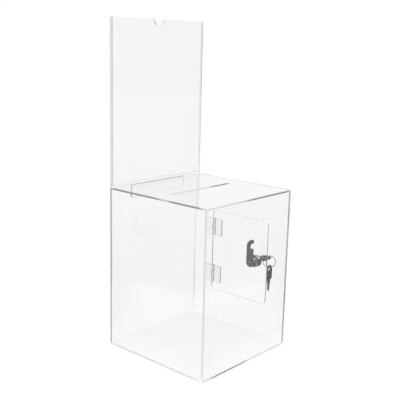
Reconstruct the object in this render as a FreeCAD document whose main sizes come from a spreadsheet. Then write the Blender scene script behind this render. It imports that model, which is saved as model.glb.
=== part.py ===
import FreeCAD, Part
import Sketcher
import math
import os

# Clear donation box with a lift-out sign header, a locked side door and two keys.
# Millimetres. The origin is at the middle of the base, +Z is up, the front is -Y, the header stands
# along the back edge (+Y) and the door is in the right wall (+X).

document = FreeCAD.newDocument("donation_box")
sizes = document.addObject("Spreadsheet::Sheet", "sizes")

driving_sizes = [
    # box, lid and money slot
    ("box_width", 218),
    ("box_depth", 218),
    ("box_height", 282.5),
    ("sheet", 3),
    ("slot_length", 143),
    ("slot_width", 6),
    # header
    ("header_height", 280),
    ("header_sheet", 4),
    ("header_cover", 2),
    ("pocket_gap", 1.2),
    ("spacer_height", 6),
    ("tongue_width", 130),
    ("tongue_drop", 24),
    ("tongue_corner", 8),
    ("tongue_clear", 0.2),
    ("notch_radius", 13.6),
    ("notch_depth", 11),
    ("notch_shift", -2),
    # door and its two hinges
    ("door_width", 127.5),
    ("door_height", 154),
    ("door_shift", -1),
    ("door_lower", 0.5),
    ("door_corner", 8),
    ("door_gap", 1),
    ("hinge_spacing", 92.5),
    ("hinge_lower", 2),
    ("leaf_width", 19.5),
    ("leaf_height", 32),
    ("leaf_thick", 2.8),
    ("knuckle_radius", 3),
    ("knuckle_gap", 0.3),
    ("pin_rise", 3.2),
    ("pin_radius", 1.2),
    ("pin_clear", 0.05),
    # lock
    ("lock_inset", 23.75),
    ("lock_rise", 0),
    ("flange_radius", 11),
    ("flange_thick", 2),
    ("barrel_radius", 9),
    ("barrel_length", 18.4),
    ("barrel_flat", 16),
    ("barrel_clear", 0.15),
    ("nut_across", 21),
    ("nut_thick", 4),
    ("thread_clear", 0.05),
    ("plug_radius", 6),
    ("plug_clear", 0.06),
    ("collar_radius", 7.4),
    ("collar_thick", 1.2),
    ("post_width", 7),
    ("post_clear", 0.05),
    ("stop_thick", 1.2),
    ("stop_radius", 6.6),
    ("tab_width", 3),
    ("lug_width", 1.7),
    ("lug_arc", 244),
    ("running_clear", 0.2),
    ("cam_width", 14),
    ("cam_reach", 44),
    ("cam_thick", 2.5),
    ("hook_mouth", 3),
    ("spring_washer_thick", 0.9),
    ("screw_radius", 2),
    ("screw_length", 8),
    ("screw_head_radius", 3.5),
    ("screw_head_thick", 2.2),
    ("screw_slot", 1),
    ("wafer_count", 4),
    ("wafer_thick", 1),
    ("wafer_pitch", 2.3),
    ("wafer_width", 6.4),
    ("wafer_clear", 0.08),
    ("first_wafer", 3.6),
    ("groove_depth", 1.2),
    # keys and ring
    ("head_length", 29),
    ("head_width", 22),
    ("head_thick", 2.6),
    ("head_corner", 3),
    ("head_ease", 0.7),
    ("eye_radius", 4.6),
    ("eye_inset", 8),
    ("neck_length", 6),
    ("neck_width", 10),
    ("neck_stand", 1),
    ("tang_length", 8),
    ("blade_length", 15),
    ("blade_width", 6.8),
    ("blade_thick", 2),
    ("blade_point", 2.5),
    ("cut_depth", 1.2),
    ("key_clear", 0.15),
    ("ring_radius", 11.4),
    ("wire_radius", 0.6),
    ("turn_width", 1.1),
    ("wire_ease", 0.2),
    ("ring_turn", -50),
    ("ring_drop", 8.7),
    ("ring_reach", 6.2),
    ("spare_turn", 9),
    ("spare_hang", 2.7),
]
for row, (alias, value) in enumerate(driving_sizes, start=1):
    sizes.set(f"A{row}", alias)
    sizes.set(f"B{row}", str(value))
    sizes.setAlias(f"B{row}", alias)
document.recompute()


# Helpers
def bind(thing, expressions):
    for name, text in expressions.items():
        thing.setExpression(name, text)
    return thing


def place(thing, across="0", along="0", up="0"):
    return bind(thing, {"Placement.Base.x": across, "Placement.Base.y": along, "Placement.Base.z": up})


def block(name, start, extent):
    box = document.addObject("Part::Box", name)
    bind(box, dict(zip(("Length", "Width", "Height"), extent)))
    return place(box, *start)


def rod(name, radius, height, start=("0", "0", "0")):
    cylinder = document.addObject("Part::Cylinder", name)
    bind(cylinder, {"Radius": radius, "Height": height})
    return place(cylinder, *start)


def fuse(name, pieces):
    joined = document.addObject("Part::MultiFuse", name)
    joined.Shapes = pieces
    return joined


def cut(name, base, tools):
    tool = tools[0]
    if len(tools) > 1:
        tool = fuse(name + "_tools", tools)
    result = document.addObject("Part::Cut", name)
    result.Base = base
    result.Tool = tool
    return result


def common(name, first, second):
    result = document.addObject("Part::Common", name)
    result.Base = first
    result.Tool = second
    return result


def new_body(name):
    return document.addObject("PartDesign::Body", name)


def new_sketch(body, role, name):
    sketch = body.newObject("Sketcher::SketchObject", name)
    plane = [feature for feature in body.Origin.OriginFeatures if feature.Role == role][0]
    sketch.AttachmentSupport = [(plane, "")]
    sketch.MapMode = "FlatFace"
    return sketch


def fix_point(sketch, geometry, point, across, up):
    for kind, text in (("DistanceX", across), ("DistanceY", up)):
        index = sketch.addConstraint(Sketcher.Constraint(kind, -1, 1, geometry, point, 1.0))
        sketch.setExpression(f"Constraints[{index}]", text)


def draw_polygon(sketch, corners):
    first = sketch.GeometryCount
    count = len(corners)
    for number in range(count):
        ends = []
        for turn in (number, number + 1):
            angle = 2 * math.pi * turn / count
            ends.append(FreeCAD.Vector(math.cos(angle), math.sin(angle), 0))
        sketch.addGeometry(Part.LineSegment(*ends), False)
    for number, (across, up) in enumerate(corners):
        before = first + (number - 1) % count
        sketch.addConstraint(Sketcher.Constraint("Coincident", before, 2, first + number, 1))
        fix_point(sketch, first + number, 1, across, up)


def draw_rectangle(sketch, left, right, bottom, top):
    draw_polygon(sketch, [(left, bottom), (right, bottom), (right, top), (left, top)])


def draw_circle(sketch, radius, across="0", up="0"):
    number = sketch.addGeometry(Part.Circle(FreeCAD.Vector(), FreeCAD.Vector(0, 0, 1), 1), False)
    index = sketch.addConstraint(Sketcher.Constraint("Radius", number, 1.0))
    sketch.setExpression(f"Constraints[{index}]", radius)
    fix_point(sketch, number, 3, across, up)


def pad(body, sketch, length, name):
    feature = body.newObject("PartDesign::Pad", name)
    feature.Profile = sketch
    return bind(feature, {"Length": length})


def pocket_through(body, sketch, name, reverse=False):
    feature = body.newObject("PartDesign::Pocket", name)
    feature.Profile = sketch
    feature.Type = "ThroughAll"
    feature.Reversed = reverse
    return feature


def revolve(body, sketch, name):
    feature = body.newObject("PartDesign::Revolution", name)
    feature.Profile = sketch
    feature.ReferenceAxis = (sketch, ["V_Axis"])
    return feature


def chosen_edges(feature, chosen):
    document.recompute()
    return [f"Edge{number}" for number, edge in enumerate(feature.Shape.Edges, start=1) if chosen(edge)]


def round_edges(body, feature, radius, chosen, name):
    rounded = body.newObject("PartDesign::Fillet", name)
    rounded.Base = (feature, chosen_edges(feature, chosen))
    return bind(rounded, {"Radius": radius})


def ease_edges(body, feature, width, chosen, name):
    eased = body.newObject("PartDesign::Chamfer", name)
    eased.Base = (feature, chosen_edges(feature, chosen))
    return bind(eased, {"Size": width})


def runs_along(edge, axis):
    if not isinstance(edge.Curve, Part.Line):
        return False
    return abs(edge.Curve.Direction.dot(axis)) > 0.999


parts = []


def finish(thing, label):
    thing.Label = label
    parts.append(thing)
    return thing


def value(alias):
    return float(sizes.get(alias))


x_axis = FreeCAD.Vector(1, 0, 0)
y_axis = FreeCAD.Vector(0, 1, 0)
z_axis = FreeCAD.Vector(0, 0, 1)

# Places that several pieces share
half_width = "sizes.box_width / 2"
half_depth = "sizes.box_depth / 2"
wall_height = "(sizes.box_height - 2 * sizes.sheet)"
back_inside = "(sizes.box_depth / 2 - sizes.sheet)"
header_front_back = f"({back_inside} - sizes.tongue_clear)"
door_middle = "(sizes.box_height / 2 - sizes.door_lower)"
door_base = f"({door_middle} - sizes.door_height / 2)"
hinge_middle = f"({door_middle} - sizes.hinge_lower)"
door_front = "(sizes.door_shift - sizes.door_width / 2)"
door_rear = "(sizes.door_shift + sizes.door_width / 2)"
pin_x = f"({half_width} + sizes.pin_rise)"
pin_y = f"({door_rear} + sizes.door_gap / 2)"
lock_y = f"({door_front} + sizes.lock_inset)"
lock_z = "(sizes.box_height / 2 + sizes.lock_rise)"
eye_x = (
    f"({half_width} + sizes.flange_thick + sizes.neck_stand + sizes.neck_length"
    " + sizes.head_length - sizes.eye_inset)"
)


# Box panels, cut from one thickness of sheet: the base and the lid lie over the ends of the walls,
# and the side walls stand between the front and the back.
def flat_sheet(label, role, draw):
    body = new_body(label)
    sketch = new_sketch(body, role, label + "_outline")
    draw(sketch)
    feature = pad(body, sketch, "sizes.sheet", label + "_sheet")
    return finish(body, label), feature


def draw_full(sketch):
    draw_rectangle(sketch, f"-{half_width}", half_width, f"-{half_depth}", half_depth)


def draw_lid(sketch):
    draw_full(sketch)
    slot_end = "sizes.slot_length / 2"
    slot_side = "sizes.slot_width / 2"
    draw_rectangle(sketch, f"-{slot_end}", slot_end, f"-{slot_side}", slot_side)
    tongue_side = "(sizes.tongue_width / 2 + sizes.tongue_clear)"
    tongue_front = f"({header_front_back} - sizes.header_sheet - sizes.tongue_clear)"
    draw_rectangle(sketch, f"-{tongue_side}", tongue_side, tongue_front, back_inside)


def draw_end_wall(sketch):
    draw_rectangle(sketch, f"-{half_width}", half_width, "0", wall_height)


def draw_side_wall(sketch):
    draw_rectangle(sketch, f"-{back_inside}", back_inside, "0", wall_height)


def draw_door_wall(sketch):
    draw_side_wall(sketch)
    front = f"{door_front} - sizes.door_gap"
    rear = f"{door_rear} + sizes.door_gap"
    bottom = f"({door_base} - sizes.sheet - sizes.door_gap)"
    draw_rectangle(sketch, front, rear, bottom, f"{bottom} + sizes.door_height + 2 * sizes.door_gap")


bottom_panel, _ = flat_sheet("bottom_panel", "XY_Plane", draw_full)
lid, _ = flat_sheet("lid", "XY_Plane", draw_lid)
place(lid, up="sizes.box_height - sizes.sheet")
front_wall, _ = flat_sheet("front_wall", "XZ_Plane", draw_end_wall)
place(front_wall, along=f"-{back_inside}", up="sizes.sheet")
back_wall, _ = flat_sheet("back_wall", "XZ_Plane", draw_end_wall)
place(back_wall, along=half_depth, up="sizes.sheet")
left_wall, _ = flat_sheet("left_wall", "YZ_Plane", draw_side_wall)
place(left_wall, across=f"-{half_width}", up="sizes.sheet")
right_wall, right_sheet = flat_sheet("right_wall", "YZ_Plane", draw_door_wall)
place(right_wall, across=f"{half_width} - sizes.sheet", up="sizes.sheet")
wall_side = value("box_depth") / 2 - value("sheet")


def is_opening_corner(edge):
    return runs_along(edge, x_axis) and abs(edge.CenterOfMass.y) < wall_side - value("sheet") / 2


opening_corner = "sizes.door_corner + sizes.door_gap"
round_edges(right_wall, right_sheet, opening_corner, is_opening_corner, "opening_corners")


# Header: a thick sheet and a thin cover behind it, with a pocket between them for the sign. The thick
# sheet's tongue drops through the lid, close inside the back wall.
def draw_header_front(sketch):
    tongue = "(sizes.tongue_width / 2)"
    draw_polygon(
        sketch,
        [
            (f"-{half_width}", "0"),
            (f"-{tongue}", "0"),
            (f"-{tongue}", "-sizes.tongue_drop"),
            (tongue, "-sizes.tongue_drop"),
            (tongue, "0"),
            (half_width, "0"),
            (half_width, "sizes.header_height"),
            (f"-{half_width}", "sizes.header_height"),
        ],
    )


def header_sheet(label, draw, thickness):
    body = new_body(label)
    sketch = new_sketch(body, "XZ_Plane", label + "_outline")
    draw(sketch)
    feature = pad(body, sketch, thickness, label + "_sheet")
    return finish(body, label), feature


header_front, header_front_pad = header_sheet(
    "header_front_sheet", draw_header_front, "sizes.header_sheet"
)


def is_tongue_corner(edge):
    return runs_along(edge, y_axis) and edge.CenterOfMass.z < -value("tongue_drop") / 2


tongue_round = round_edges(
    header_front, header_front_pad, "sizes.tongue_corner", is_tongue_corner, "tongue_corners"
)
notch = new_sketch(header_front, "XZ_Plane", "finger_notch_outline")
notch_middle = "sizes.header_height + sizes.notch_radius - sizes.notch_depth"
draw_circle(notch, "sizes.notch_radius", "sizes.notch_shift", notch_middle)
pocket_through(header_front, notch, "finger_notch", reverse=True)
place(header_front, along=header_front_back, up="sizes.box_height")


def draw_header_rear(sketch):
    draw_rectangle(sketch, f"-{half_width}", half_width, "0", "sizes.header_height")


header_rear, _ = header_sheet("header_rear_sheet", draw_header_rear, "sizes.header_cover")
header_rear_back = f"{header_front_back} + sizes.pocket_gap + sizes.header_cover"
place(header_rear, along=header_rear_back, up="sizes.box_height")
header_spacer = block(
    "header_spacer_strip",
    (f"-{half_width}", header_front_back, "sizes.box_height"),
    ("sizes.box_width", "sizes.pocket_gap", "sizes.spacer_height"),
)
finish(header_spacer, "header_spacer")

# Door: the panel cut out of the right wall, with a two-flat hole that stops the lock from turning
door_body = new_body("door_blank")
door_sketch = new_sketch(door_body, "YZ_Plane", "door_outline")
draw_rectangle(door_sketch, door_front, door_rear, "0", "sizes.door_height")
door_sheet = pad(door_body, door_sketch, "sizes.sheet", "door_sheet")
round_edges(door_body, door_sheet, "sizes.door_corner", lambda edge: runs_along(edge, x_axis), "door_corners")
lock_drop = f"({lock_z} - {door_base})"
hole_round = rod("door_hole_round", "sizes.barrel_radius + sizes.barrel_clear", "3 * sizes.sheet")
hole_round.Placement.Rotation = FreeCAD.Rotation(y_axis, 90)
place(hole_round, "-sizes.sheet", lock_y, lock_drop)
hole_flat = "(sizes.barrel_flat / 2 + sizes.barrel_clear)"
hole_strip = block(
    "door_hole_strip",
    ("-sizes.sheet", f"{lock_y} - 2 * sizes.barrel_radius", f"{lock_drop} - {hole_flat}"),
    ("3 * sizes.sheet", "4 * sizes.barrel_radius", f"2 * {hole_flat}"),
)
door_panel = cut("door_panel", door_body, [common("door_hole", hole_round, hole_strip)])
place(door_panel, across=f"{half_width} - sizes.sheet", up=door_base)
finish(door_panel, "door_panel")


# Hinges: each leaf is a plate on the outer face with its own share of the knuckle. The wall leaf holds
# the pin at both ends and the door leaf turns on it in between. Local origin: the pin's lower end.
leaf_third = "(sizes.leaf_height / 3)"
leaf_start = "(sizes.knuckle_radius + sizes.knuckle_gap)"


def hinge_leaf(label, side, knuckles, bore, height):
    plate_start = leaf_start if side > 0 else "-sizes.leaf_width"
    solids = [
        block(
            label + "_plate",
            ("-sizes.pin_rise", plate_start, "0"),
            ("sizes.leaf_thick", f"sizes.leaf_width - {leaf_start}", "sizes.leaf_height"),
        )
    ]
    for number, (bottom, tall) in enumerate(knuckles):
        solids.append(rod(f"{label}_knuckle_{number}", "sizes.knuckle_radius", tall, ("0", "0", bottom)))
        web_start = "0" if side > 0 else f"-{leaf_start}"
        web = block(
            f"{label}_web_{number}",
            ("-sizes.pin_rise", web_start, bottom),
            ("sizes.leaf_thick", leaf_start, tall),
        )
        solids.append(web)
    hole = rod(label + "_bore", bore, "sizes.leaf_height")
    leaf = cut(label, fuse(label + "_solid", solids), [hole])
    place(leaf, pin_x, pin_y, height)
    finish(leaf, label)


outer_knuckles = [
    ("0", f"{leaf_third} - sizes.knuckle_gap / 2"),
    (f"2 * {leaf_third} + sizes.knuckle_gap / 2", f"{leaf_third} - sizes.knuckle_gap / 2"),
]
middle_knuckle = [(f"{leaf_third} + sizes.knuckle_gap / 2", f"{leaf_third} - sizes.knuckle_gap")]
for name, sign in (("upper", "+"), ("lower", "-")):
    height = f"{hinge_middle} {sign} sizes.hinge_spacing / 2 - sizes.leaf_height / 2"
    hinge_leaf(f"{name}_hinge_wall_leaf", 1, outer_knuckles, "sizes.pin_radius", height)
    hinge_leaf(f"{name}_hinge_door_leaf", -1, middle_knuckle, "sizes.pin_radius + sizes.pin_clear", height)
    pin = rod(f"{name}_hinge_pin", "sizes.pin_radius", "sizes.leaf_height", (pin_x, pin_y, height))
    finish(pin, f"{name}_hinge_pin")


# Lock. Its pieces are drawn along a local Z that points out of the door, with the door's outer face at
# zero and local +X hanging down, and are then turned to lie along the lock's axis.
def seat_in_door(thing, label, roll=0):
    thing.Placement.Rotation = FreeCAD.Rotation(y_axis, 90).multiply(FreeCAD.Rotation(z_axis, roll))
    place(thing, half_width, lock_y, lock_z)
    finish(thing, label)


barrel_end = "-sizes.barrel_length"
bore_radius = "(sizes.plug_radius + sizes.plug_clear)"
collar_seat = "(sizes.flange_thick - sizes.collar_thick - sizes.plug_clear)"
housing = new_body("lock_housing_body")
housing_profile = new_sketch(housing, "XZ_Plane", "housing_profile")
draw_polygon(
    housing_profile,
    [
        (bore_radius, barrel_end),
        ("sizes.barrel_radius", barrel_end),
        ("sizes.barrel_radius", "0"),
        ("sizes.flange_radius", "0"),
        ("sizes.flange_radius", "sizes.flange_thick / 2"),
        ("sizes.flange_radius - sizes.flange_thick / 2", "sizes.flange_thick"),
        ("sizes.collar_radius + sizes.plug_clear", "sizes.flange_thick"),
        ("sizes.collar_radius + sizes.plug_clear", collar_seat),
        (bore_radius, collar_seat),
    ],
)
revolve(housing, housing_profile, "housing_turned")
flats = new_sketch(housing, "XY_Plane", "barrel_flats")
for side in ("", "-"):
    draw_rectangle(
        flats,
        f"{side}sizes.barrel_flat / 2",
        f"{side}2 * sizes.barrel_radius",
        "-2 * sizes.barrel_radius",
        "2 * sizes.barrel_radius",
    )
pocket_through(housing, flats, "barrel_flats_cut")
lug_profile = new_sketch(housing, "XZ_Plane", "stop_lug_profile")
lug_inside = "(sizes.stop_radius + sizes.running_clear)"
draw_rectangle(
    lug_profile, lug_inside, f"{lug_inside} + sizes.lug_width", f"{barrel_end} - sizes.stop_thick", barrel_end
)
lug = revolve(housing, lug_profile, "stop_lug")
bind(lug, {"Angle": "sizes.lug_arc"})
lug.Midplane = True

# Grooves along the bore that the wafers drop into when the key is out
groove_half = "(sizes.wafer_width / 2 + sizes.running_clear)"
groove_reach = "(sizes.plug_radius + sizes.groove_depth)"
wafer_span = "(sizes.wafer_count * sizes.wafer_pitch)"
grooves = block(
    "wafer_grooves",
    (f"-{groove_half}", f"-{groove_reach}", f"-sizes.first_wafer - {wafer_span} + sizes.wafer_thick"),
    (f"2 * {groove_half}", f"2 * {groove_reach}", wafer_span),
)
seat_in_door(cut("lock_housing_grooved", housing, [grooves]), "lock_housing")

# Hexagon nut against the inside of the door, its outer corners eased
nut_prism = document.addObject("Part::Prism", "nut_hexagon")
nut_prism.Polygon = 6
bind(nut_prism, {"Circumradius": "sizes.nut_across / sqrt(3)", "Height": "sizes.nut_thick"})
place(nut_prism, up="-sizes.sheet - sizes.nut_thick")
nut_ease = document.addObject("Part::Cone", "nut_ease")
bind(
    nut_ease,
    {
        "Radius1": "sizes.nut_across / 2",
        "Radius2": "sizes.nut_across / 2 + 1.7 * sizes.nut_thick",
        "Height": "sizes.nut_thick",
    },
)
place(nut_ease, up="-sizes.sheet - sizes.nut_thick")
nut_bore_start = "-sizes.sheet - 2 * sizes.nut_thick"
nut_bore_radius = "sizes.barrel_radius + sizes.thread_clear"
nut_bore = rod("nut_bore", nut_bore_radius, "3 * sizes.nut_thick", ("0", "0", nut_bore_start))
seat_in_door(cut("lock_nut_bored", common("nut_eased", nut_prism, nut_ease), [nut_bore]), "lock_nut")

# Plug: collar at the front, keyway, wafer slots and a square post for the cam
plug_tail = f"({barrel_end} - sizes.stop_thick - sizes.cam_thick + 2 * sizes.post_clear)"
plug_solids = [
    rod("plug_barrel", "sizes.plug_radius", f"sizes.barrel_length + {collar_seat}", ("0", "0", barrel_end)),
    rod(
        "plug_collar",
        "sizes.collar_radius",
        "sizes.collar_thick",
        ("0", "0", "sizes.flange_thick - sizes.collar_thick"),
    ),
    rod("plug_neck", "sizes.plug_radius", "sizes.flange_thick", ("0", "0", "0")),
    block(
        "plug_post",
        ("-sizes.post_width / 2", "-sizes.post_width / 2", plug_tail),
        ("sizes.post_width", "sizes.post_width", f"-{plug_tail} - sizes.barrel_length + sizes.post_width"),
    ),
]
key_depth = "(sizes.blade_length + sizes.key_clear - sizes.neck_stand - sizes.flange_thick)"
keyway_half = "(sizes.blade_width / 2 + sizes.key_clear)"
keyway_narrow = "(sizes.blade_thick / 2 + sizes.key_clear)"
plug_cuts = [
    block(
        "keyway",
        (f"-{keyway_narrow}", f"-{keyway_half}", f"-{key_depth}"),
        (f"2 * {keyway_narrow}", f"2 * {keyway_half}", f"{key_depth} + 2 * sizes.flange_thick"),
    ),
    rod("cam_screw_hole", "sizes.screw_radius", "sizes.screw_length", ("0", "0", plug_tail)),
]
for number in range(int(value("wafer_count"))):
    bottom = f"(-sizes.first_wafer - {number} * sizes.wafer_pitch)"
    slot_half = "(sizes.wafer_width / 2 + sizes.wafer_clear)"
    plug_cuts.append(
        block(
            f"wafer_slot_{number}",
            (f"-{slot_half}", "-2 * sizes.plug_radius", f"{bottom} - sizes.wafer_clear"),
            (f"2 * {slot_half}", "4 * sizes.plug_radius", "sizes.wafer_thick + 2 * sizes.wafer_clear"),
        )
    )
seat_in_door(cut("lock_plug_cut", fuse("plug_solid", plug_solids), plug_cuts), "lock_plug")

# Wafers, drawn level with the plug as they stand with the key in
wafers = []
for number in range(int(value("wafer_count"))):
    bottom = f"(-sizes.first_wafer - {number} * sizes.wafer_pitch)"
    strip = block(
        f"wafer_strip_{number}",
        ("-sizes.wafer_width / 2", "-2 * sizes.plug_radius", bottom),
        ("sizes.wafer_width", "4 * sizes.plug_radius", "sizes.wafer_thick"),
    )
    disc_radius = "sizes.plug_radius - sizes.wafer_clear"
    disc = rod(f"wafer_disc_{number}", disc_radius, "sizes.wafer_thick", ("0", "0", bottom))
    window = block(
        f"wafer_window_{number}",
        (f"-{keyway_narrow}", f"-{keyway_half}", f"{bottom} - sizes.wafer_thick"),
        (f"2 * {keyway_narrow}", f"2 * {keyway_half}", "3 * sizes.wafer_thick"),
    )
    wafers.append(cut(f"wafer_{number}", common(f"wafer_blank_{number}", strip, disc), [window]))
wafer_group = document.addObject("Part::Compound", "wafer_group")
wafer_group.Links = wafers
seat_in_door(wafer_group, "lock_wafers")

# Stop washer: its tab turns a quarter turn between the ends of the housing's lug
post_hole = "(sizes.post_width + 2 * sizes.post_clear)"


def post_cut(name, bottom, thick):
    return block(
        name,
        (f"-{post_hole} / 2", f"-{post_hole} / 2", f"{bottom} - {thick}"),
        (post_hole, post_hole, f"3 * {thick}"),
    )


stop_bottom = f"({barrel_end} - sizes.stop_thick)"
stop_disc = rod("stop_disc", "sizes.stop_radius", "sizes.stop_thick", ("0", "0", stop_bottom))
stop_tab = block(
    "stop_tab",
    ("0", "-sizes.tab_width / 2", stop_bottom),
    (f"{lug_inside} + sizes.lug_width", "sizes.tab_width", "sizes.stop_thick"),
)
stop_tab.Placement.Rotation = FreeCAD.Rotation(z_axis, 135)
bind(
    stop_tab,
    {
        "Placement.Base.x": "sizes.tab_width / 2 * sqrt(0.5)",
        "Placement.Base.y": "sizes.tab_width / 2 * sqrt(0.5)",
    },
)
stop_solid = fuse("stop_solid", [stop_disc, stop_tab])
stop_washer = cut("stop_washer_cut", stop_solid, [post_cut("stop_hole", stop_bottom, "sizes.stop_thick")])
seat_in_door(stop_washer, "lock_stop_washer")

# Hook cam: a bar from the post, ending in a quarter-round hook. It stands up when unlocked and points
# to the front, behind the wall, when locked.
cam_bottom = f"({stop_bottom} - sizes.cam_thick)"
cam_half = "(sizes.cam_width / 2)"
hook_centre = "(sizes.cam_reach - sizes.cam_width)"
hook_outer = rod("hook_outer", "sizes.cam_width", "sizes.cam_thick", (hook_centre, cam_half, cam_bottom))
hook_outer.Angle = 90
hook_outer.Placement.Rotation = FreeCAD.Rotation(z_axis, -90)
hook_inner_start = (hook_centre, cam_half, f"{cam_bottom} - sizes.cam_thick")
hook_inner = rod("hook_inner", cam_half, "3 * sizes.cam_thick", hook_inner_start)
cam_solids = [
    rod("cam_root", cam_half, "sizes.cam_thick", ("0", "0", cam_bottom)),
    block(
        "cam_bar",
        ("0", f"-{cam_half}", cam_bottom),
        (f"{hook_centre} - sizes.hook_mouth", "sizes.cam_width", "sizes.cam_thick"),
    ),
    block("cam_neck", ("0", f"-{cam_half}", cam_bottom), (hook_centre, cam_half, "sizes.cam_thick")),
    cut("hook", hook_outer, [hook_inner]),
]
cam_hole = post_cut("cam_hole", cam_bottom, "sizes.cam_thick")
seat_in_door(cut("hook_cam_cut", fuse("cam_solid", cam_solids), [cam_hole]), "hook_cam", roll=180)

# Split spring washer and slotted screw that hold the cam on the post
washer_bottom = f"({cam_bottom} - sizes.spring_washer_thick)"
washer_thick = "sizes.spring_washer_thick"
washer_disc = rod("washer_disc", "sizes.screw_head_radius", washer_thick, ("0", "0", washer_bottom))
washer_bore = rod(
    "washer_bore",
    "sizes.screw_radius + sizes.running_clear",
    f"3 * {washer_thick}",
    ("0", "0", f"{washer_bottom} - {washer_thick}"),
)
washer_split = block(
    "washer_split",
    ("0", f"-{washer_thick} / 4", f"{washer_bottom} - {washer_thick}"),
    ("2 * sizes.screw_head_radius", f"{washer_thick} / 2", f"3 * {washer_thick}"),
)
seat_in_door(cut("cam_spring_washer_cut", washer_disc, [washer_bore, washer_split]), "cam_spring_washer")

screw_top = f"({washer_bottom} - sizes.screw_head_thick)"
screw = new_body("cam_screw_body")
screw_profile = new_sketch(screw, "XZ_Plane", "screw_profile")
draw_polygon(
    screw_profile,
    [
        ("0", screw_top),
        ("sizes.screw_head_radius - sizes.screw_head_thick / 2", screw_top),
        ("sizes.screw_head_radius", f"{screw_top} + sizes.screw_head_thick / 2"),
        ("sizes.screw_head_radius", washer_bottom),
        ("sizes.screw_radius", washer_bottom),
        ("sizes.screw_radius", f"{screw_top} + sizes.screw_length"),
        ("0", f"{screw_top} + sizes.screw_length"),
    ],
)
revolve(screw, screw_profile, "screw_turned")
screw_slot = block(
    "screw_slot_cut",
    ("-2 * sizes.screw_head_radius", "-sizes.screw_slot / 2", f"{screw_top} - sizes.screw_slot"),
    ("4 * sizes.screw_head_radius", "sizes.screw_slot", "2 * sizes.screw_slot"),
)
seat_in_door(cut("cam_screw_slotted", screw, [screw_slot]), "cam_screw")


# Keys, drawn flat with the eye at the origin, the head's end at +X and the blade at -X
def key_blade(name):
    shoulder = "(sizes.eye_inset - sizes.head_length)"
    neck = f"({shoulder} - sizes.neck_length)"
    tip = f"({neck} - sizes.blade_length)"
    edge = "(sizes.blade_width / 2)"
    valley = "(sizes.blade_width / 2 - sizes.cut_depth)"
    flat = "(sizes.wafer_thick / 2)"
    upper = [(f"{shoulder} + sizes.tang_length", edge), (shoulder, edge)]
    upper += [(shoulder, "(sizes.neck_width / 2)"), (neck, "(sizes.neck_width / 2)"), (neck, edge)]
    for number in range(int(value("wafer_count"))):
        middle = (
            f"({neck} - sizes.neck_stand - sizes.flange_thick - sizes.first_wafer"
            f" - {number} * sizes.wafer_pitch + {flat})"
        )
        if number % 2 == 0:
            slope = f"({flat} + sizes.cut_depth / 2)"
            upper += [(f"{middle} + {slope}", edge), (middle, valley), (f"{middle} - {slope}", edge)]
    upper += [(f"{tip} + sizes.blade_point", edge), (tip, "(sizes.blade_thick / 2)")]
    lower = [(across, f"-{up}") for across, up in reversed(upper)]
    body = new_body(name + "_body")
    sketch = new_sketch(body, "XY_Plane", name + "_outline")
    draw_polygon(sketch, upper + lower)
    pad(body, sketch, "sizes.blade_thick", name + "_plate")
    place(body, up="-sizes.blade_thick / 2")
    return body


def key_head(name):
    body = new_body(name + "_body")
    outline = new_sketch(body, "XY_Plane", name + "_outline")
    half = "(sizes.head_width / 2)"
    round_middle = f"(sizes.eye_inset - {half})"
    draw_rectangle(outline, "sizes.eye_inset - sizes.head_length", round_middle, f"-{half}", half)
    pad(body, outline, "sizes.head_thick", name + "_straight")
    end = new_sketch(body, "XY_Plane", name + "_end")
    draw_circle(end, half, round_middle)
    whole = pad(body, end, "sizes.head_thick", name + "_round")
    shoulder = value("eye_inset") - value("head_length")

    def is_shoulder(edge):
        return runs_along(edge, z_axis) and abs(edge.CenterOfMass.x - shoulder) < 0.01

    corners = round_edges(body, whole, "sizes.head_corner", is_shoulder, name + "_corners")

    def is_rim(edge):
        return abs(edge.BoundBox.ZMax - edge.BoundBox.ZMin) < 0.001

    ease_edges(body, corners, "sizes.head_ease", is_rim, name + "_rim")
    eye = new_sketch(body, "XY_Plane", name + "_eye")
    draw_circle(eye, "sizes.eye_radius")
    pocket_through(body, eye, name + "_eye_cut", reverse=True)
    place(body, up="-sizes.head_thick / 2")
    tang = block(
        name + "_tang_seat",
        ("sizes.eye_inset - 2 * sizes.head_length", "-sizes.blade_width / 2", "-sizes.blade_thick / 2"),
        ("sizes.head_length + sizes.tang_length", "sizes.blade_width", "sizes.blade_thick"),
    )
    return cut(name + "_seated", body, [tang])


def copy_shape(thing, name):
    shape_holder = document.addObject("Part::Compound", name)
    shape_holder.Links = [thing]
    return shape_holder


for make, label in ((key_blade, "key_blade"), (key_head, "key_head")):
    placed = copy_shape(make(label), label + "_in_lock")
    place(placed, eye_x, lock_y, lock_z)
    finish(placed, label)

# Split ring, two turns side by side. It hangs on the rim of the first key's eye, in an upright plane
# turned a little from the lock's axis.
ring_x = f"({eye_x} + sizes.ring_reach * cos(sizes.ring_turn * 1deg))"
ring_y = f"({lock_y} + sizes.ring_reach * sin(sizes.ring_turn * 1deg))"
ring_z = f"({lock_z} - sizes.ring_drop)"
inner = "(sizes.ring_radius - sizes.wire_radius)"
outer = "(sizes.ring_radius + sizes.wire_radius)"
ease = "sizes.wire_ease"
half_section = [
    (f"{inner} + {ease}", "0"),
    (inner, ease),
    (inner, f"sizes.turn_width - {ease}"),
    (f"{inner} + {ease}", "sizes.turn_width"),
    (f"{outer} - {ease}", "sizes.turn_width"),
    (outer, f"sizes.turn_width - {ease}"),
    (outer, ease),
    (f"{outer} - {ease}", "0"),
]
other_half = [(across, f"-({up})") for across, up in reversed(half_section[1:-1])]
ring = new_body("split_ring")
ring_section = new_sketch(ring, "XZ_Plane", "ring_section")
draw_polygon(ring_section, half_section + other_half)
revolve(ring, ring_section, "ring_turned")
upright = FreeCAD.Rotation(x_axis, 90)
ring.Placement.Rotation = FreeCAD.Rotation(z_axis, value("ring_turn")).multiply(upright)
place(ring, ring_x, ring_y, ring_z)
finish(ring, "key_ring")

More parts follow.
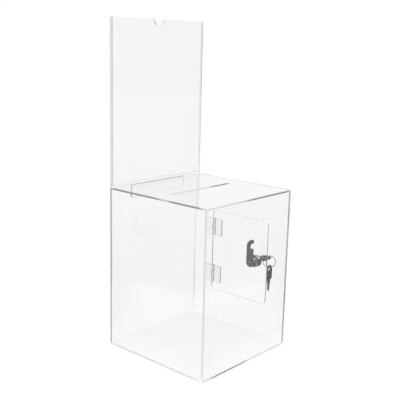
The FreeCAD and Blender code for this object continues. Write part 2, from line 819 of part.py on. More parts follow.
# Spare key, hanging by its eye from the lowest point of the ring
spare_z = f"({ring_z} - sizes.ring_radius - sizes.spare_hang)"
hang = FreeCAD.Rotation(x_axis, 90).multiply(FreeCAD.Rotation(z_axis, 90))
for make, label in ((key_blade, "spare_key_blade"), (key_head, "spare_key_head")):
    placed = copy_shape(make(label), label + "_hung")
    placed.Placement.Rotation = FreeCAD.Rotation(z_axis, value("spare_turn")).multiply(hang)
    place(placed, ring_x, ring_y, spare_z)
    finish(placed, label)

# Check every object, then write one file for each piece
document.recompute()
broken = []
for thing in document.Objects:
    if "Invalid" in thing.State or "Error" in thing.State:
        broken.append(thing.Name)
for thing in parts:
    if thing.Shape.isNull() or not thing.Shape.isValid():
        broken.append(thing.Label)
if broken:
    raise RuntimeError("failed objects: " + ", ".join(broken))
os.makedirs("parts", exist_ok=True)
for thing in parts:
    thing.Shape.exportStep(f"parts/{thing.Label}.step")
    bounds = thing.Shape.BoundBox
    print(
        f"{thing.Label}: {len(thing.Shape.Solids)} solids, {thing.Shape.Volume:.1f} mm3,"
        f" x {bounds.XMin:.1f} {bounds.XMax:.1f} y {bounds.YMin:.1f} {bounds.YMax:.1f}"
        f" z {bounds.ZMin:.1f} {bounds.ZMax:.1f}"
    )
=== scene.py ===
import math

import bpy
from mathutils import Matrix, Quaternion, Vector


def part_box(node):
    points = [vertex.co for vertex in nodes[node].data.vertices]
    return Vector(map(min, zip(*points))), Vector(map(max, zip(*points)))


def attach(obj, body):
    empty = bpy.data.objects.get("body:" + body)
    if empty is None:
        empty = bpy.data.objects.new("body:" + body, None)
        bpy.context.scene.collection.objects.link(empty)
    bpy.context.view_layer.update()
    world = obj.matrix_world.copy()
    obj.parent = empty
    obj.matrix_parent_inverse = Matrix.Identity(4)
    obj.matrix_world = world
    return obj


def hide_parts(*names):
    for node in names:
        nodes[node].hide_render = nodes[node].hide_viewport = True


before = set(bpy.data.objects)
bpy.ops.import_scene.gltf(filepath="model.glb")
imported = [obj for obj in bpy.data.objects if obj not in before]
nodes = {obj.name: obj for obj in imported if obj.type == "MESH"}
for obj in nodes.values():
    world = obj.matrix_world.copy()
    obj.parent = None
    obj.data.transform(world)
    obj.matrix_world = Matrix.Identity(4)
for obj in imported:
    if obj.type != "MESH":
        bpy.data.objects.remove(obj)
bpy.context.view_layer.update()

mm = 0.001
print("frame loaded:", len(nodes), "nodes")


# small helpers
def linear(hexColour):
    # sRGB hex to the linear colour that a shader socket takes
    channels = []
    for start in (1, 3, 5):
        share = int(hexColour[start:start + 2], 16) / 255
        channels.append(share / 12.92 if share <= 0.04045 else ((share + 0.055) / 1.055) ** 2.4)
    return (*channels, 1.0)


def addNode(tree, kind, settings=None, links=None):
    # an input goes by its name, or by its place where names repeat
    node = tree.nodes.new(kind)
    for name, value in (settings or {}).items():
        if isinstance(name, int) or name in node.inputs:
            node.inputs[name].default_value = value
        else:
            setattr(node, name, value)
    for name, socket in (links or {}).items():
        tree.links.new(socket, node.inputs[name])
    return node


def newMaterial(name):
    material = bpy.data.materials.new(name)
    material.use_nodes = True
    material.node_tree.nodes.clear()
    return material, material.node_tree


def useMaterial(piece, material):
    piece.data.materials.clear()
    piece.data.materials.append(material)


def selectOnly(piece):
    bpy.ops.object.select_all(action="DESELECT")
    piece.select_set(True)
    bpy.context.view_layer.objects.active = piece


# materials
pureWhite = linear("#ffffff")
noiseSpan = (0.3, 0.7)  # the values that a noise pattern seldom leaves
grainShade = 0.82  # the dark spots of a metal's grain, as a share of its colour

# Cast acrylic sheet, polished by its casting plates: clear all through, with a very faint ripple in the
# faces and a little wiping haze. Light that is caught inside a sheet leaves it again a little dimmer.
acrylicLook = {
    "tint": "#ffffff", "clear": 1.0, "ior": 1.46,
    "smooth": 0.0, "haze": 0.02, "hazeSize": 70 * mm, "hazeSpan": (0.45, 0.8),
    "rippleSize": 55 * mm, "rippleHeight": 0.02 * mm,
    "shadowTint": "#f0f2f2", "edgeBounces": 2.5, "streak": 0.0,
}


def makeAcrylic(name, look):
    material, tree = newMaterial(name)
    place = addNode(tree, "ShaderNodeTexCoord").outputs["Object"]
    smudge = addNode(tree, "ShaderNodeTexNoise", {"Scale": 1 / look["hazeSize"], "Detail": 3.0},
                     {"Vector": place})
    hazeFrom, hazeTo = look["hazeSpan"]
    haze = addNode(tree, "ShaderNodeMapRange",
                   {"From Min": hazeFrom, "From Max": hazeTo, "To Min": look["smooth"],
                    "To Max": look["haze"]},
                   {"Value": smudge.outputs["Fac"]})
    ripple = addNode(tree, "ShaderNodeTexNoise", {"Scale": 1 / look["rippleSize"], "Detail": 0.0},
                     {"Vector": place})
    bump = addNode(tree, "ShaderNodeBump", {"Strength": 1.0, "Distance": look["rippleHeight"]},
                   {"Height": ripple.outputs["Fac"]})
    glass = addNode(tree, "ShaderNodeBsdfPrincipled",
                    {"Base Color": linear(look["tint"]), "IOR": look["ior"],
                     "Transmission Weight": look["clear"]},
                    {"Roughness": haze.outputs["Result"], "Normal": bump.outputs["Normal"]})
    if look["streak"]:
        # painted shade: lengths of the edge are painted grey, half opaque and rough; the others are clear
        # and smooth
        run = addNode(tree, "ShaderNodeTexNoise",
                      {"noise_dimensions": "4D", "W": look["streakStart"], "Scale": 1 / look["streak"],
                       "Detail": 1.0},
                      {"Vector": place})
        low, high = look["streakRange"]
        tone = addNode(tree, "ShaderNodeValToRGB", {}, {"Fac": run.outputs["Fac"]})
        tone.color_ramp.elements[0].position = low
        tone.color_ramp.elements[0].color = linear(look["tint"])
        tone.color_ramp.elements[1].position = high
        tone.color_ramp.elements[1].color = linear(acrylicLook["tint"])
        tree.links.new(tone.outputs["Color"], glass.inputs["Base Color"])
        clear = addNode(tree, "ShaderNodeMapRange",
                        {"From Min": low, "From Max": high, "To Min": look["clear"],
                         "To Max": acrylicLook["clear"]},
                        {"Value": run.outputs["Fac"]})
        tree.links.new(clear.outputs["Result"], glass.inputs["Transmission Weight"])
        dull = addNode(tree, "ShaderNodeMapRange",
                       {"From Min": low, "From Max": high, "To Min": 1.0, "To Max": 0.0},
                       {"Value": run.outputs["Fac"]})
        rough = addNode(tree, "ShaderNodeMath", {"operation": "MULTIPLY"},
                        {0: dull.outputs["Result"], 1: haze.outputs["Result"]})
        tree.links.new(rough.outputs["Value"], glass.inputs["Roughness"])
    # light that has run along inside a sheet for several bounces leaves it again
    path = addNode(tree, "ShaderNodeLightPath")
    caught = addNode(tree, "ShaderNodeMath", {"operation": "GREATER_THAN", 1: look["edgeBounces"]},
                     {0: path.outputs["Glossy Depth"]})
    leaving = addNode(tree, "ShaderNodeBsdfTransparent", {"Color": pureWhite})
    sheet = addNode(tree, "ShaderNodeMixShader", {},
                    {"Fac": caught.outputs["Value"], 1: glass.outputs["BSDF"], 2: leaving.outputs["BSDF"]})
    # lamps and room light pass straight through
    through = addNode(tree, "ShaderNodeBsdfTransparent", {"Color": linear(look["shadowTint"])})
    lampRay = addNode(tree, "ShaderNodeMath", {"operation": "MAXIMUM"},
                      {0: path.outputs["Is Shadow Ray"], 1: path.outputs["Is Diffuse Ray"]})
    surface = addNode(tree, "ShaderNodeMixShader", {},
                      {"Fac": lampRay.outputs["Value"], 1: sheet.outputs["Shader"],
                       2: through.outputs["BSDF"]})
    addNode(tree, "ShaderNodeOutputMaterial", {}, {"Surface": surface.outputs["Shader"]})
    return material


# The grain of the metals and of the black plastic is drawn coarser than it is, so that it shows.
# Plated zinc die casting: bright nickel over a tumbled casting, so reflections are clear but not perfect.
platedZinc = {
    "name": "nickelPlatedZinc", "colour": "#a9a9a8", "roughness": (0.14, 0.26),
    "grain": 1.2 * mm, "bump": 0.01 * mm,
}
# Zinc-plated pressed steel: satin grey, slightly uneven from the plating bath.
platedSteel = {
    "name": "zincPlatedSteel", "colour": "#8f9090", "roughness": (0.24, 0.4),
    "grain": 0.8 * mm, "bump": 0.006 * mm,
}
# Nickel-plated brass key blank with milled flats: a slightly warm grey.
keyMetal = {
    "name": "nickelPlatedBrass", "colour": "#a6a39c", "roughness": (0.2, 0.34),
    "grain": 0.9 * mm, "bump": 0.004 * mm,
}
# Stamped brass wafers, dull from handling oil.
waferMetal = {
    "name": "stampedBrass", "colour": "#b08f52", "roughness": (0.3, 0.45),
    "grain": 0.8 * mm, "bump": 0.01 * mm,
}


def makeMetal(look):
    material, tree = newMaterial(look["name"])
    place = addNode(tree, "ShaderNodeTexCoord").outputs["Object"]
    grain = addNode(tree, "ShaderNodeTexNoise", {"Scale": 1 / look["grain"], "Detail": 4.0},
                    {"Vector": place})
    low, high = look["roughness"]
    rough = addNode(tree, "ShaderNodeMapRange",
                    {"From Min": noiseSpan[0], "From Max": noiseSpan[1], "To Min": low, "To Max": high},
                    {"Value": grain.outputs["Fac"]})
    tone = addNode(tree, "ShaderNodeValToRGB", {}, {"Fac": grain.outputs["Fac"]})
    base = linear(look["colour"])
    tone.color_ramp.elements[0].color = (*[channel * grainShade for channel in base[:3]], 1.0)
    tone.color_ramp.elements[1].color = base
    bump = addNode(tree, "ShaderNodeBump", {"Strength": 1.0, "Distance": look["bump"]},
                   {"Height": grain.outputs["Fac"]})
    metal = addNode(tree, "ShaderNodeBsdfPrincipled", {"Metallic": 1.0},
                    {"Base Color": tone.outputs["Color"], "Roughness": rough.outputs["Result"],
                     "Normal": bump.outputs["Normal"]})
    addNode(tree, "ShaderNodeOutputMaterial", {}, {"Surface": metal.outputs["BSDF"]})
    return material


# Black ABS, injection moulded with a fine spark-eroded grain: dark, low sheen, worn smoother by fingers.
absLook = {
    "dark": "#101011", "worn": "#1a1a1b", "ior": 1.54, "roughness": (0.5, 0.36), "patch": 9 * mm,
    "grain": 0.5 * mm, "bump": 0.03 * mm, "bumpStrength": 0.6,
}


def makeBlackPlastic(look):
    material, tree = newMaterial("mouldedBlackAbs")
    place = addNode(tree, "ShaderNodeTexCoord").outputs["Object"]
    patch = addNode(tree, "ShaderNodeTexNoise", {"Scale": 1 / look["patch"], "Detail": 2.0},
                    {"Vector": place})
    tone = addNode(tree, "ShaderNodeValToRGB", {}, {"Fac": patch.outputs["Fac"]})
    tone.color_ramp.elements[0].color = linear(look["dark"])
    tone.color_ramp.elements[1].color = linear(look["worn"])
    moulded, worn = look["roughness"]
    rough = addNode(tree, "ShaderNodeMapRange",
                    {"From Min": noiseSpan[0], "From Max": noiseSpan[1], "To Min": moulded, "To Max": worn},
                    {"Value": patch.outputs["Fac"]})
    grain = addNode(tree, "ShaderNodeTexNoise", {"Scale": 1 / look["grain"], "Detail": 2.0},
                    {"Vector": place})
    bump = addNode(tree, "ShaderNodeBump", {"Strength": look["bumpStrength"], "Distance": look["bump"]},
                   {"Height": grain.outputs["Fac"]})
    plastic = addNode(tree, "ShaderNodeBsdfPrincipled", {"IOR": look["ior"]},
                      {"Base Color": tone.outputs["Color"], "Roughness": rough.outputs["Result"],
                       "Normal": bump.outputs["Normal"]})
    addNode(tree, "ShaderNodeOutputMaterial", {}, {"Surface": plastic.outputs["BSDF"]})
    return material


# The sawn edges of the same sheet: fine saw marks scatter the light, and lengths of an edge are painted
# grey as shade.
sawnPaintedShadeLook = dict(acrylicLook, tint="#9c9f9f", clear=0.45, smooth=0.08, haze=0.2, hazeSize=3 * mm,
                streak=100 * mm, streakStart=15.0, streakRange=(0.43, 0.49))

# Edges that were only scraped, as on the header's tongue and the hinges: painted shade, a lighter grey all
# along.
scrapedPaintedShadeLook = dict(sawnPaintedShadeLook, tint="#b8baba", streak=0.0)

# Ends set in cement, which fills the joint: between two like materials light is not bent or mirrored,
# so the IOR is the 1 of a joint and not that of acrylic in air.
cementedLook = dict(acrylicLook, ior=1.0)

# The base, rubbed dull by coins and wiping: it mirrors less sharply than the walls.
rubbedLook = dict(acrylicLook, smooth=0.11, haze=0.13, hazeSize=40 * mm)

# The sides of the header's sheets: painted shade, a little grey.
headerSidePaintedShadeLook = dict(acrylicLook, tint="#dcdcdc")

# the sawn, scraped and header-side edge materials are partly painted shade: their grey tints stand in for
# the edges' shade
acrylic = makeAcrylic("castAcrylicClear", acrylicLook)
rubbedAcrylic = makeAcrylic("castAcrylicRubbed", rubbedLook)
headerSidePaintedShadeAcrylic = makeAcrylic("castAcrylicPaintedShadeHeaderSide", headerSidePaintedShadeLook)
sawnPaintedShadeAcrylic = makeAcrylic("castAcrylicPaintedShadeSawnEdge", sawnPaintedShadeLook)
scrapedPaintedShadeAcrylic = makeAcrylic("castAcrylicPaintedShadeScrapedEdge", scrapedPaintedShadeLook)
cementedAcrylic = makeAcrylic("castAcrylicCementedEnd", cementedLook)
nickelZinc = makeMetal(platedZinc)
zincSteel = makeMetal(platedSteel)
nickelBrass = makeMetal(keyMetal)
brass = makeMetal(waferMetal)
blackAbs = makeBlackPlastic(absLook)
print("materials ready")

# pieces that stand for a CAD node, with its sharp edges just broken
mergeReach = 0.002 * mm
flatAngle = math.radians(0.5)  # faces that turn less than this become one face
bevelAngle = math.radians(40)  # an edge that turns more than this is broken
smoothAngle = math.radians(50)


def pieceFromNode(node, body, finish, look):
    words = node.split("_")
    name = words[0] + "".join(word.capitalize() for word in words[1:]) + look["ending"]
    piece = bpy.data.objects.new(name, nodes[node].data.copy())
    bpy.context.scene.collection.objects.link(piece)
    selectOnly(piece)
    bpy.ops.object.mode_set(mode="EDIT")
    bpy.ops.mesh.select_all(action="SELECT")
    bpy.ops.mesh.remove_doubles(threshold=mergeReach)
    bpy.ops.mesh.dissolve_limited(angle_limit=flatAngle)
    if look["shrink"]:
        bpy.ops.transform.shrink_fatten(value=-look["shrink"], use_even_offset=True)
    bpy.ops.object.mode_set(mode="OBJECT")
    bpy.ops.mesh.customdata_custom_splitnormals_clear()
    useMaterial(piece, finish)
    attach(piece, body)
    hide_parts(node)
    return piece


def breakEdges(piece, look):
    selectOnly(piece)
    bevel = piece.modifiers.new("brokenEdge", "BEVEL")
    bevel.width = look["bevel"]
    bevel.segments = look["segments"]
    bevel.limit_method = "ANGLE"
    bevel.angle_limit = bevelAngle
    bpy.ops.object.modifier_apply(modifier="brokenEdge")
    bpy.ops.object.shade_smooth_by_angle(angle=smoothAngle)
    flat = piece.modifiers.new("flatFaces", "WEIGHTED_NORMAL")
    flat.weight = 100
    flat.keep_sharp = True
    bpy.ops.object.modifier_apply(modifier="flatFaces")


# acrylic sheets: a hair smaller than the CAD ones, so that glued sheets don't share a face
sheetEdges = {"ending": "Acrylic", "shrink": 0.03 * mm, "bevel": 0.22 * mm, "segments": 2}
sheetPieces = {
    "box": ["bottom_panel", "front_wall", "back_wall", "left_wall", "right_wall", "lid",
            "upper_hinge_wall_leaf", "upper_hinge_pin", "lower_hinge_wall_leaf", "lower_hinge_pin"],
    "header": ["header_front_sheet", "header_rear_sheet", "header_spacer"],
    "door": ["door_panel", "upper_hinge_door_leaf", "lower_hinge_door_leaf"],
}
faceFinish = {"bottom_panel": rubbedAcrylic}  # the other sheets' faces are clear
# ends with a finish of their own, by axis and end, -1 low and 1 high: polished by a flame, set in cement,
# or scraped, with painted shade
clearEnds = {
    "bottom_panel": [("x", -1)], "front_wall": [("z", -1), ("x", -1)], "back_wall": [("z", -1), ("x", 1)],
    "left_wall": [("z", -1), ("y", 1)],
}
cementedEnds = {"left_wall": [("y", -1)], "right_wall": [("y", 1)]}
scrapedPaintedShadeEnds = {"back_wall": [("x", -1)], "right_wall": [("y", -1)]}
faceShare = 0.5  # a face whose normal has more than this along an axis looks that way
edgeReach = 0.5 * mm  # a face this close to a sheet's end belongs to that end
tongueReach = 2 * mm
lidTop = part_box("lid")[1][2]
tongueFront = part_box("header_front_sheet")[0][1]


def atEnd(face, ends, listed):
    for letter, side in listed:
        axis = "xyz".index(letter)
        if face.normal[axis] * side > faceShare and abs(face.center[axis] - ends[side][axis]) < edgeReach:
            return True
    return False


# which finish each face takes; the grey sawn, scraped and header-side finishes put painted shade on the
# edges
def edgeFinish(node, face, across, ends):
    clear = faceFinish.get(node, acrylic)
    if abs(face.normal[across]) > faceShare or atEnd(face, ends, clearEnds.get(node, [])):
        return clear
    if atEnd(face, ends, cementedEnds.get(node, [])):
        return cementedAcrylic
    if "leaf" in node or atEnd(face, ends, scrapedPaintedShadeEnds.get(node, [])):
        return scrapedPaintedShadeAcrylic
    # the turned pins, the laser-cut door and the other edges of its wall are clear
    if "pin" in node or node in ("door_panel", "right_wall"):
        return clear
    if node.startswith("header"):
        if face.center.z < lidTop:
            return scrapedPaintedShadeAcrylic
        return headerSidePaintedShadeAcrylic if atEnd(face, ends, [("x", -1), ("x", 1)]) else clear
    # the tongue's slot starts just before the tongue and ends short of the lid's back edge
    if node == "lid" and tongueFront - tongueReach < face.center.y < ends[1].y - tongueReach:
        return scrapedPaintedShadeAcrylic
    return sawnPaintedShadeAcrylic


for body, members in sheetPieces.items():
    for node in members:
        sheet = pieceFromNode(node, body, faceFinish.get(node, acrylic), sheetEdges)
        breakEdges(sheet, sheetEdges)
        across = min(range(3), key=lambda axis: sheet.dimensions[axis])
        low, high = [Vector(corner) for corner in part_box(node)]
        for face in sheet.data.polygons:
            finish = edgeFinish(node, face, across, {-1: low, 1: high})
            if finish.name not in sheet.data.materials:
                sheet.data.materials.append(finish)
            face.material_index = sheet.data.materials.find(finish.name)
print("acrylic sheets made")

# lock housing: a fine thread is cut into the barrel behind the nut
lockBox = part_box("lock_nut")
threadLook = {
    "radius": 9 * mm, "depth": 0.5 * mm, "width": 0.8 * mm, "pitch": 1 * mm, "turns": 7, "steps": 40,
    "proud": 0.15 * mm, "start": 0.4 * mm, "smoothAngle": 35,
}
castEdges = {"ending": "Cast", "shrink": 0.0}
lockMiddle = [(low + high) / 2 for low, high in zip(*lockBox)]


def threadCutter(look):
    bpy.ops.object.select_all(action="DESELECT")
    bpy.ops.mesh.primitive_circle_add(vertices=3, radius=look["depth"])
    cutter = bpy.context.object
    # the three corners of the groove: its root, and two just outside the barrel
    side = look["width"] / 2
    corners = [(-look["depth"], 0), (look["proud"], -side), (look["proud"], side)]
    for corner, (out, along) in zip(cutter.data.vertices, corners):
        corner.co = (look["radius"] + out, 0, along)
    turn = cutter.modifiers.new("thread", "SCREW")
    turn.axis = "Z"
    turn.angle = math.tau
    turn.screw_offset = look["pitch"]
    turn.iterations = look["turns"]
    turn.steps = look["steps"]
    turn.render_steps = look["steps"]
    bpy.ops.object.modifier_apply(modifier="thread")
    bpy.ops.object.mode_set(mode="EDIT")
    bpy.ops.mesh.select_all(action="SELECT")
    bpy.ops.mesh.fill_holes(sides=0)
    bpy.ops.mesh.normals_make_consistent(inside=False)
    bpy.ops.object.mode_set(mode="OBJECT")
    cutter.rotation_euler = (0, -math.pi / 2, 0)
    cutter.location = (lockBox[0][0] - look["start"], lockMiddle[1], lockMiddle[2])
    bpy.ops.object.transform_apply(location=True, rotation=True, scale=True)
    return cutter


housing = pieceFromNode("lock_housing", "door", nickelZinc, castEdges)
cutter = threadCutter(threadLook)
selectOnly(housing)
groove = housing.modifiers.new("threadGroove", "BOOLEAN")
groove.operation = "DIFFERENCE"
groove.solver = "EXACT"
groove.object = cutter
bpy.ops.object.modifier_apply(modifier="threadGroove")
bpy.data.objects.remove(cutter)
bpy.ops.object.shade_smooth_by_angle(angle=math.radians(threadLook["smoothAngle"]))
print("lock housing threaded:", len(housing.data.polygons), "faces")

# split ring: flat spring wire wound twice round, so it has two coils side by side and two ends
ringLook = {
    "radius": 11.4 * mm, "wide": 0.6 * mm, "thick": 0.29 * mm, "pitch": 0.6 * mm, "coils": 2, "turn": -50,
    "sides": 14, "steps": 72, "smoothAngle": 40,
}
bpy.ops.object.select_all(action="DESELECT")
bpy.ops.mesh.primitive_circle_add(vertices=ringLook["sides"], radius=ringLook["wide"], enter_editmode=True)
bpy.ops.transform.resize(value=(1, ringLook["thick"] / ringLook["wide"], 1))
bpy.ops.transform.rotate(value=math.pi / 2, orient_axis="X", center_override=(0, 0, 0))
bpy.ops.transform.translate(value=(ringLook["radius"], 0, -ringLook["pitch"]))
bpy.ops.object.mode_set(mode="OBJECT")
ring = bpy.context.object
ring.name = "splitRingWire"
coil = ring.modifiers.new("twoTurns", "SCREW")
coil.axis = "Z"
coil.angle = math.tau
coil.screw_offset = ringLook["pitch"]
coil.iterations = ringLook["coils"]
coil.steps = ringLook["steps"]
coil.render_steps = ringLook["steps"]
bpy.ops.object.modifier_apply(modifier="twoTurns")
bpy.ops.object.mode_set(mode="EDIT")
bpy.ops.mesh.select_all(action="SELECT")
bpy.ops.mesh.remove_doubles(threshold=mergeReach)
bpy.ops.mesh.fill_holes(sides=0)
bpy.ops.mesh.normals_make_consistent(inside=False)
bpy.ops.object.mode_set(mode="OBJECT")
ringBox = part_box("key_ring")
ring.rotation_euler = (math.pi / 2, 0, math.radians(ringLook["turn"]))
ring.location = [(low + high) / 2 for low, high in zip(*ringBox)]
bpy.ops.object.transform_apply(location=True, rotation=True, scale=True)
bpy.ops.object.shade_smooth_by_angle(angle=math.radians(ringLook["smoothAngle"]))
useMaterial(ring, nickelZinc)
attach(ring, "key_ring")
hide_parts("key_ring")
print("split ring wound")

# pressed, turned and moulded pieces with their edges broken: body, slot, finish and edge
smallPieces = {
    "lock_nut": ("door", "plated_zinc", nickelZinc, 0.25 * mm),
    "lock_plug": ("lock_core", "plated_zinc", nickelZinc, 0.15 * mm),
    "lock_stop_washer": ("lock_core", "steel", zincSteel, 0.12 * mm),
    "hook_cam": ("lock_core", "steel", zincSteel, 0.3 * mm),
    "cam_screw": ("lock_core", "steel", zincSteel, 0.15 * mm),
    "key_blade": ("key", "plated_zinc", nickelBrass, 0.12 * mm),
    "spare_key_blade": ("spare_key", "plated_zinc", nickelBrass, 0.12 * mm),
    "key_head": ("key", "black_plastic", blackAbs, 0.5 * mm),
    "spare_key_head": ("spare_key", "black_plastic", blackAbs, 0.5 * mm),
}
for node, (body, slot, finish, edge) in smallPieces.items():
    smallEdges = {"ending": "Finished", "shrink": 0.0, "bevel": edge, "segments": 2}
    breakEdges(pieceFromNode(node, body, finish, smallEdges), smallEdges)

# the CAD nodes that stay as they are
useMaterial(nodes["lock_wafers"], brass)
useMaterial(nodes["cam_spring_washer"], zincSteel)
print("lock and key pieces finished")


# stage: white table and backdrop, dim studio around them, soft light
def seenShare(tree, backdrop):
    # rays that show the surroundings: straight to the camera, mirrored, or through the acrylic;
    # mirrored ones meet the white backdrop only where it stands, and the dim studio elsewhere
    path = addNode(tree, "ShaderNodeLightPath")
    bent = addNode(tree, "ShaderNodeMath", {"operation": "MAXIMUM"},
                   {0: path.outputs["Is Glossy Ray"], 1: path.outputs["Is Transmission Ray"]})
    looking = addNode(tree, "ShaderNodeMath", {"operation": "MAXIMUM"},
                      {0: path.outputs["Is Camera Ray"], 1: bent.outputs["Value"]})
    # no mirror on the way
    straight = addNode(tree, "ShaderNodeMath", {"operation": "LESS_THAN", 1: 0.5},
                       {0: path.outputs["Glossy Depth"]})
    white = addNode(tree, "ShaderNodeMath", {"operation": "MAXIMUM"},
                    {0: straight.outputs["Value"], 1: backdrop})
    # light that was caught inside a sheet has lost its direction
    caught = addNode(tree, "ShaderNodeMath", {"operation": "GREATER_THAN", 1: acrylicLook["edgeBounces"]},
                     {0: path.outputs["Glossy Depth"]})
    return looking.outputs["Value"], white.outputs["Value"], caught.outputs["Value"]


stageLook = {
    "floorSize": 9.0, "floorDrop": 0.2 * mm,
    "floorTone": "#6c6c6c", "floorLift": 0.89, "paperTone": "#cfcfcf",
    "tableNear": 0.1, "tableFar": 0.24, "shadowNear": 0.4, "shadowFar": 1.1,
    "dimWay": (0.66, 0.76, 0.0), "dimFrom": -0.04, "dimTo": 0.06, "dimNear": 0.54, "dimFar": 0.0,
    "edgeGlow": 0.74,
}
bpy.ops.object.select_all(action="DESELECT")
bpy.ops.mesh.primitive_plane_add(size=stageLook["floorSize"], location=(0, 0, -stageLook["floorDrop"]))
floor = bpy.context.object
floor.name = "studioFloor"
floorPaper, tree = newMaterial("mattePaperFloor")
place = addNode(tree, "ShaderNodeTexCoord").outputs["Object"]
reach = addNode(tree, "ShaderNodeVectorMath", {"operation": "LENGTH"}, {0: place})
table = addNode(tree, "ShaderNodeMapRange",
                {"interpolation_type": "SMOOTHSTEP", "From Min": stageLook["tableNear"],
                 "From Max": stageLook["tableFar"], "To Min": 1.0, "To Max": 0.0},
                {"Value": reach.outputs["Value"]})
looking, white, caught = seenShare(tree, table.outputs["Result"])
paper = addNode(tree, "ShaderNodeBsdfDiffuse", {"Color": linear(stageLook["floorTone"])})
lift = addNode(tree, "ShaderNodeEmission", {"Color": pureWhite, "Strength": stageLook["floorLift"]})
lifted = addNode(tree, "ShaderNodeAddShader", {}, {0: paper.outputs["BSDF"], 1: lift.outputs["Emission"]})
# beyond the object's shadow the paper is plain white
sweep = addNode(tree, "ShaderNodeEmission", {"Color": pureWhite, "Strength": 1.0})
beyond = addNode(tree, "ShaderNodeMapRange",
                 {"interpolation_type": "SMOOTHSTEP", "From Min": stageLook["shadowNear"],
                  "From Max": stageLook["shadowFar"]},
                 {"Value": reach.outputs["Value"]})
bright = addNode(tree, "ShaderNodeMixShader", {},
                 {"Fac": beyond.outputs["Result"], 1: lifted.outputs["Shader"],
                  2: sweep.outputs["Emission"]})
# in mirrors the studio floor is dim, and darkest close behind the table
behind = addNode(tree, "ShaderNodeVectorMath", {"operation": "DOT_PRODUCT", 1: stageLook["dimWay"]},
                 {0: place})
fading = addNode(tree, "ShaderNodeMapRange",
                 {"From Min": stageLook["shadowNear"], "From Max": stageLook["shadowFar"],
                  "To Min": stageLook["dimFar"], "To Max": stageLook["dimNear"]},
                 {"Value": reach.outputs["Value"]})
darker = addNode(tree, "ShaderNodeMapRange",
                 {"interpolation_type": "SMOOTHSTEP", "From Min": stageLook["dimFrom"],
                  "From Max": stageLook["dimTo"], "To Min": stageLook["dimNear"]},
                 {"Value": behind.outputs["Value"], "To Max": fading.outputs["Result"]})
dim = addNode(tree, "ShaderNodeEmission", {"Color": pureWhite}, {"Strength": darker.outputs["Result"]})
shown = addNode(tree, "ShaderNodeMixShader", {},
                {"Fac": white, 1: dim.outputs["Emission"], 2: bright.outputs["Shader"]})
glow = addNode(tree, "ShaderNodeEmission", {"Color": pureWhite, "Strength": stageLook["edgeGlow"]})
seen = addNode(tree, "ShaderNodeMixShader", {},
               {"Fac": caught, 1: shown.outputs["Shader"], 2: glow.outputs["Emission"]})
matte = addNode(tree, "ShaderNodeBsdfDiffuse", {"Color": linear(stageLook["paperTone"])})
floorLook = addNode(tree, "ShaderNodeMixShader", {},
                    {"Fac": looking, 1: matte.outputs["BSDF"], 2: seen.outputs["Shader"]})
addNode(tree, "ShaderNodeOutputMaterial", {}, {"Surface": floorLook.outputs["Shader"]})
useMaterial(floor, floorPaper)

roomLook = {
    "white": 1.0, "light": 0.75, "low": "#a8a8a8", "high": "#f4f4f4",
    "backdropWay": (0.748, 0.664, 0.0), "backdropFrom": 0.3, "backdropTo": 0.75, "backdropShare": 0.92,
    "studioLow": 0.42, "studioHigh": 0.6, "studioFrom": 0.2, "studioTo": 1.0,
}
world = bpy.data.worlds.new("studioRoom")
bpy.context.scene.world = world
world.use_nodes = True
tree = world.node_tree
tree.nodes.clear()
direction = addNode(tree, "ShaderNodeTexCoord").outputs["Generated"]
facing = addNode(tree, "ShaderNodeVectorMath", {"operation": "DOT_PRODUCT", 1: roomLook["backdropWay"]},
                 {0: direction})
backdrop = addNode(tree, "ShaderNodeMapRange",
                   {"interpolation_type": "SMOOTHSTEP", "From Min": roomLook["backdropFrom"],
                    "From Max": roomLook["backdropTo"], "To Max": roomLook["backdropShare"]},
                   {"Value": facing.outputs["Value"]})
looking, white, caught = seenShare(tree, backdrop.outputs["Result"])
parts = addNode(tree, "ShaderNodeSeparateXYZ", {}, {"Vector": direction})
shade = addNode(tree, "ShaderNodeValToRGB", {}, {"Fac": parts.outputs["Z"]})
shade.color_ramp.elements[0].color = linear(roomLook["low"])
shade.color_ramp.elements[1].color = linear(roomLook["high"])
roomLight = addNode(tree, "ShaderNodeBackground", {"Strength": roomLook["light"]},
                    {"Color": shade.outputs["Color"]})
height = addNode(tree, "ShaderNodeMapRange",
                 {"From Min": roomLook["studioFrom"], "From Max": roomLook["studioTo"],
                  "To Min": roomLook["studioLow"], "To Max": roomLook["studioHigh"]},
                 {"Value": parts.outputs["Z"]})
studio = addNode(tree, "ShaderNodeBackground", {"Color": pureWhite},
                 {"Strength": height.outputs["Result"]})
bright = addNode(tree, "ShaderNodeBackground", {"Color": pureWhite, "Strength": roomLook["white"]})
shown = addNode(tree, "ShaderNodeMixShader", {},
                {"Fac": white, 1: studio.outputs["Background"], 2: bright.outputs["Background"]})
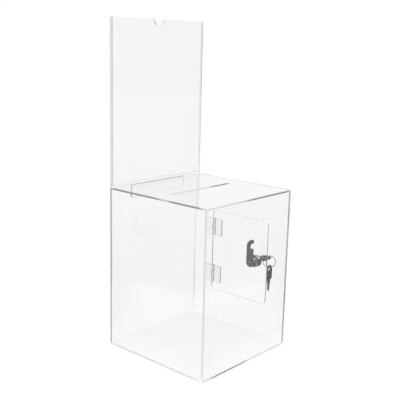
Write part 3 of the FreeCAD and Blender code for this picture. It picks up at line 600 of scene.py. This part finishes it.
glow = addNode(tree, "ShaderNodeBackground", {"Color": pureWhite, "Strength": stageLook["edgeGlow"]})
seen = addNode(tree, "ShaderNodeMixShader", {},
               {"Fac": caught, 1: shown.outputs["Shader"], 2: glow.outputs["Background"]})
room = addNode(tree, "ShaderNodeMixShader", {},
               {"Fac": looking, 1: roomLight.outputs["Background"], 2: seen.outputs["Shader"]})
addNode(tree, "ShaderNodeOutputWorld", {}, {"Surface": room.outputs["Shader"]})

lampLook = {
    "keyLamp": {"place": (-0.9, -1.1, 1.9), "aim": (0, 0, 0.25), "size": 1.6, "power": 22},
    "fillLamp": {"place": (1.7, 0.1, 1.3), "aim": (0, 0, 0.25), "size": 1.4, "power": 10},
}
for name, lamp in lampLook.items():
    data = bpy.data.lights.new(name, "AREA")
    data.size = lamp["size"]
    data.energy = lamp["power"]
    light = bpy.data.objects.new(name, data)
    bpy.context.scene.collection.objects.link(light)
    light.location = lamp["place"]
    sight = Vector(lamp["aim"]) - Vector(lamp["place"])
    light.rotation_euler = sight.to_track_quat("-Z", "Y").to_euler()
print("stage and lamps set")

# camera at the photograph's viewpoint
cameraLook = {
    "place": (-0.8911, -0.7892, 0.5243), "aim": (-0.00105, 0.00119, 0.26262),
    "roll": 1.442, "lens": 64.21, "sensor": 36, "nearest": 0.05,
}
cameraData = bpy.data.cameras.new("photoCamera")
cameraData.sensor_fit = "HORIZONTAL"
cameraData.sensor_width = cameraLook["sensor"]
cameraData.lens = cameraLook["lens"]
cameraData.clip_start = cameraLook["nearest"]
camera = bpy.data.objects.new("photoCamera", cameraData)
bpy.context.scene.collection.objects.link(camera)
camera.location = cameraLook["place"]
camera.rotation_mode = "QUATERNION"
sight = Vector(cameraLook["aim"]) - Vector(cameraLook["place"])
roll = Quaternion((0, 0, 1), math.radians(cameraLook["roll"]))
camera.rotation_quaternion = sight.to_track_quat("-Z", "Y") @ roll
bpy.context.scene.camera = camera
bpy.context.scene.view_settings.view_transform = "Standard"
